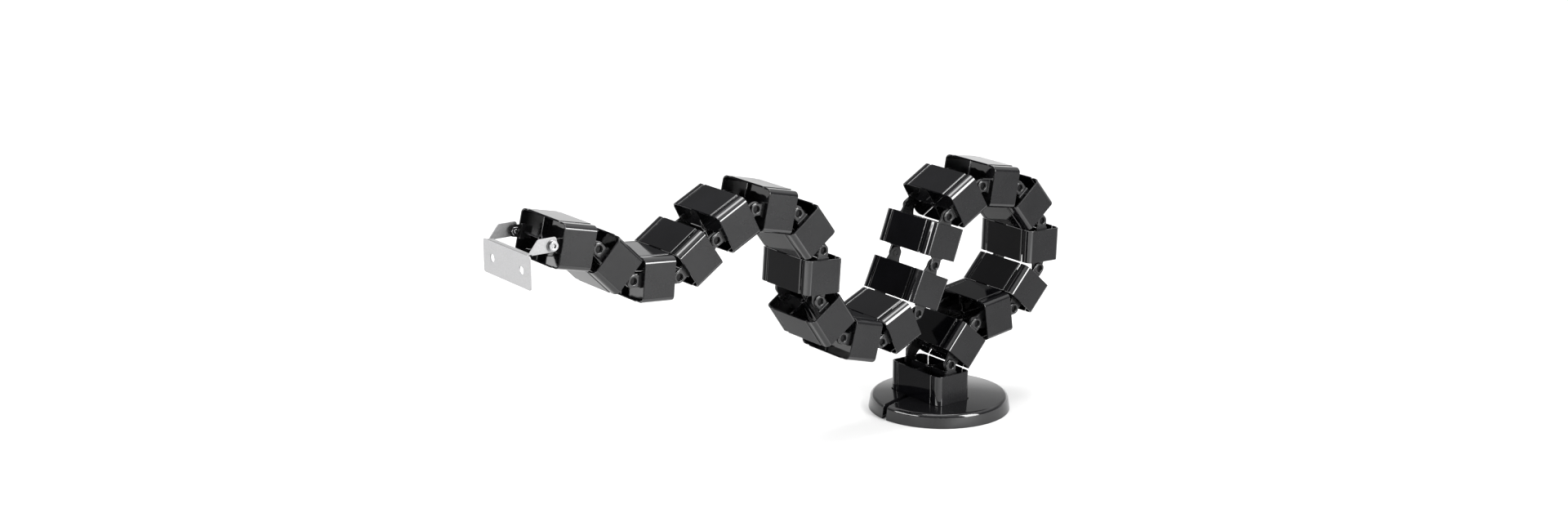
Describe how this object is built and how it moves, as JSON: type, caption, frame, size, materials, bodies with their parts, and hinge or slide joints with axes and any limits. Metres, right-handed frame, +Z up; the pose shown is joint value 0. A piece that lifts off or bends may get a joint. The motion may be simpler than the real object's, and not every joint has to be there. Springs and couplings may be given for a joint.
{
  "type": "cable management spine",
  "caption": "Articulated cable spine: hinged links with cable passages, a round weighted foot and a sheet steel bracket that screws under a desk.",
  "frame": {"origin": "middle of the foot's underside, on the floor", "axes": "the chain bends in the X-Z plane and reaches its bracket towards -X; Y lies along the hinge axes; Z is up"},
  "size_m": [0.7497, 0.173, 0.3238],
  "materials": {
    "link_plastic": "satin to gloss black",
    "foot_plastic": "polished black",
    "weight_steel": "plain",
    "pad_rubber": "matt",
    "foot_screws": "zinc plated",
    "galvanised_sheet": "bright galvanised",
    "bracket_fixings": "zinc plated"
  },
  "bodies": {
    "foot": {"base_cover": "foot_plastic", "base_weight": "weight_steel", "base_pad": "pad_rubber", "base_screws": "foot_screws", "link_01": "link_plastic"},
    "link_02": {"link_02": "link_plastic"},
    "link_03": {"link_03": "link_plastic"},
    "link_04": {"link_04": "link_plastic"},
    "link_05": {"link_05": "link_plastic"},
    "link_06": {"link_06": "link_plastic"},
    "link_07": {"link_07": "link_plastic"},
    "link_08": {"link_08": "link_plastic"},
    "link_09": {"link_09": "link_plastic"},
    "link_10": {"link_10": "link_plastic"},
    "link_11": {"link_11": "link_plastic"},
    "link_12": {"link_12": "link_plastic"},
    "link_13": {"link_13": "link_plastic"},
    "link_14": {"link_14": "link_plastic"},
    "link_15": {"link_15": "link_plastic"},
    "link_16": {"link_16": "link_plastic"},
    "link_17": {"link_17": "link_plastic"},
    "link_18": {"link_18": "link_plastic"},
    "link_19": {"link_19": "link_plastic"},
    "link_20": {"link_20": "link_plastic"},
    "link_21": {"link_21": "link_plastic"},
    "bracket": {"bracket": "galvanised_sheet", "bracket_screws": "bracket_fixings", "bracket_washers": "bracket_fixings", "bracket_nuts": "bracket_fixings"}
  },
  "joints": [
    {"name": "hinge_01", "type": "hinge", "parent": "foot", "child": "link_02", "pos_m": [-0.015, 0, 0.065], "axis": [0, -1, 0], "range_deg": [-1, 54]},
    {"name": "hinge_02", "type": "hinge", "parent": "link_02", "child": "link_03", "pos_m": [0.02436, 0, 0.11028], "axis": [0, 1, 0], "range_deg": [-36, 1]},
    {"name": "hinge_03", "type": "hinge", "parent": "link_03", "child": "link_04", "pos_m": [0.08378, 0, 0.11863], "axis": [0, -1, 0], "range_deg": [-82, 2]},
    {"name": "hinge_04", "type": "hinge", "parent": "link_04", "child": "link_05", "pos_m": [0.12393, 0, 0.16322], "axis": [0, 1, 0], "range_deg": [-2, 82]},
    {"name": "hinge_05", "type": "hinge", "parent": "link_05", "child": "link_06", "pos_m": [0.12602, 0, 0.22318], "axis": [0, -1, 0], "range_deg": [-83, 1]},
    {"name": "hinge_06", "type": "hinge", "parent": "link_06", "child": "link_07", "pos_m": [0.08826, 0, 0.26981], "axis": [0, 1, 0], "range_deg": [-1, 83]},
    {"name": "hinge_07", "type": "hinge", "parent": "link_07", "child": "link_08", "pos_m": [0.02917, 0, 0.28023], "axis": [0, -1, 0], "range_deg": [-82, 2]},
    {"name": "hinge_08", "type": "hinge", "parent": "link_08", "child": "link_09", "pos_m": [-0.02279, 0, 0.25023], "axis": [0, 1, 0], "range_deg": [-2, 82]},
    {"name": "hinge_09", "type": "hinge", "parent": "link_09", "child": "link_10", "pos_m": [-0.04331, 0, 0.19385], "axis": [0, -1, 0], "range_deg": [-38, 34]},
    {"name": "hinge_10", "type": "hinge", "parent": "link_10", "child": "link_11", "pos_m": [-0.06771, 0, 0.13904], "axis": [0, 1, 0], "range_deg": [-74, 1]},
    {"name": "hinge_11", "type": "hinge", "parent": "link_11", "child": "link_12", "pos_m": [-0.12209, 0, 0.11368], "axis": [0, -1, 0], "range_deg": [-2, 82]},
    {"name": "hinge_12", "type": "hinge", "parent": "link_12", "child": "link_13", "pos_m": [-0.18005, 0, 0.12921], "axis": [0, 1, 0], "range_deg": [-83, 1]},
    {"name": "hinge_13", "type": "hinge", "parent": "link_13", "child": "link_14", "pos_m": [-0.2136, 0, 0.17895], "axis": [0, -1, 0], "range_deg": [-4, 80]},
    {"name": "hinge_14", "type": "hinge", "parent": "link_14", "child": "link_15", "pos_m": [-0.20941, 0, 0.23881], "axis": [0, 1, 0], "range_deg": [-2, 82]},
    {"name": "hinge_15", "type": "hinge", "parent": "link_15", "child": "link_16", "pos_m": [-0.24468, 0, 0.28735], "axis": [0, -1, 0], "range_deg": [-83, 1]},
    {"name": "hinge_16", "type": "hinge", "parent": "link_16", "child": "link_17", "pos_m": [-0.30314, 0, 0.30084], "axis": [0, 1, 0], "range_deg": [-2, 82]},
    {"name": "hinge_17", "type": "hinge", "parent": "link_17", "child": "link_18", "pos_m": [-0.3566, 0, 0.2736], "axis": [0, -1, 0], "range_deg": [-49, 35]},
    {"name": "hinge_18", "type": "hinge", "parent": "link_18", "child": "link_19", "pos_m": [-0.40635, 0, 0.24005], "axis": [0, 1, 0], "range_deg": [-81, 3]},
    {"name": "hinge_19", "type": "hinge", "parent": "link_19", "child": "link_20", "pos_m": [-0.46612, 0, 0.24528], "axis": [0, -1, 0], "range_deg": [-2, 82]},
    {"name": "hinge_20", "type": "hinge", "parent": "link_20", "child": "link_21", "pos_m": [-0.50854, 0, 0.28771], "axis": [0, 1, 0], "range_deg": [-10, 74]},
    {"name": "bracket_hinge", "type": "hinge", "parent": "link_21", "child": "bracket", "pos_m": [-0.56701, 0, 0.30121], "axis": [0, -1, 0], "range_deg": [-60, 60]}
  ]
}
